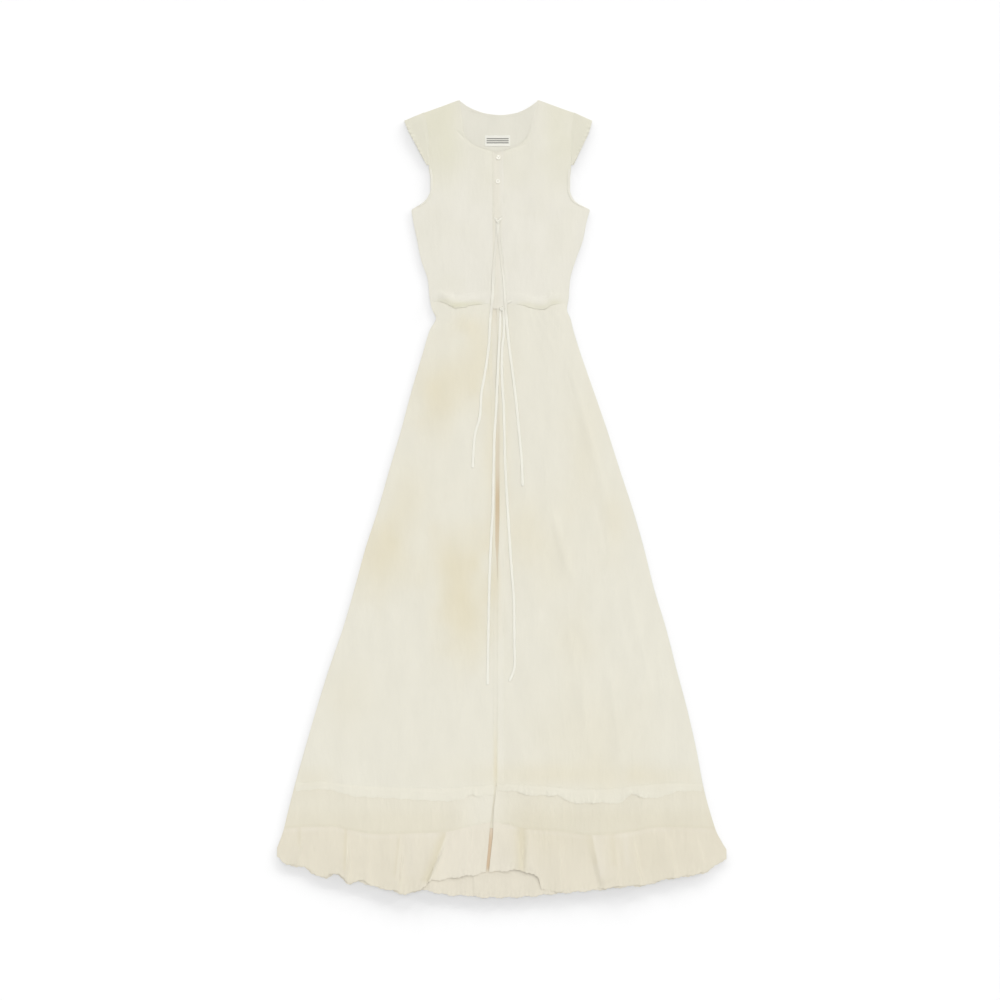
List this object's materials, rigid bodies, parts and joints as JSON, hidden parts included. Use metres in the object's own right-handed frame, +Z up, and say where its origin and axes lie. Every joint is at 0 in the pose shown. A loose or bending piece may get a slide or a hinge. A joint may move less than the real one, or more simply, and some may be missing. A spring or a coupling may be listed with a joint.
{
  "type": "ruffle dress",
  "caption": "Sleeveless maxi dress laid flat: cap sleeves, round neck, button placket, drawn waist with ties, open front skirt, ruffled hem.",
  "frame": {"origin": "centre of the base: the middle of the dress's box, on the surface that it lies on", "axes": "+Y from the hem to the neck, +Z up out of the dress's front, +X to the right as seen from above"},
  "size_m": [0.873, 1.5503, 0.0182],
  "materials": {
    "cloth": "ivory crinkled cotton with a faint tea-stained mottle, matte",
    "ruffle_cloth": "slightly warmer ivory cotton, gathered, matte",
    "edging": "doubled ivory cotton, lighter than the cloth, stitched edges",
    "ties": "soft cream turned cotton cord",
    "label": "bare white woven tape",
    "buttons": "pearly cream"
  },
  "bodies": {
    "root": {"armhole_binding_left": "edging", "armhole_binding_right": "edging", "back_bodice": "cloth", "back_ruffle": "ruffle_cloth", "back_skirt": "cloth", "back_tier": "ruffle_cloth", "bust_cord_left": "ties", "bust_cord_right": "ties", "bust_knot": "ties", "bust_tie_left": "ties", "bust_tie_right": "ties", "button_1": "buttons", "button_2": "buttons", "cap_sleeve_left": "cloth", "cap_sleeve_right": "cloth", "frill_left": "edging", "frill_right": "edging", "front_bodice_left": "cloth", "front_bodice_right": "cloth", "front_edge_band": "edging", "front_ruffle_left": "ruffle_cloth", "front_ruffle_right": "ruffle_cloth", "front_skirt_left": "cloth", "front_skirt_right": "cloth", "front_tier_left": "ruffle_cloth", "front_tier_right": "ruffle_cloth", "neck_label": "label", "placket": "edging", "waist_cord_left": "ties", "waist_cord_right": "ties", "waist_knot": "ties", "waist_tie_left": "ties", "waist_tie_right": "ties"}
  },
  "joints": []
}
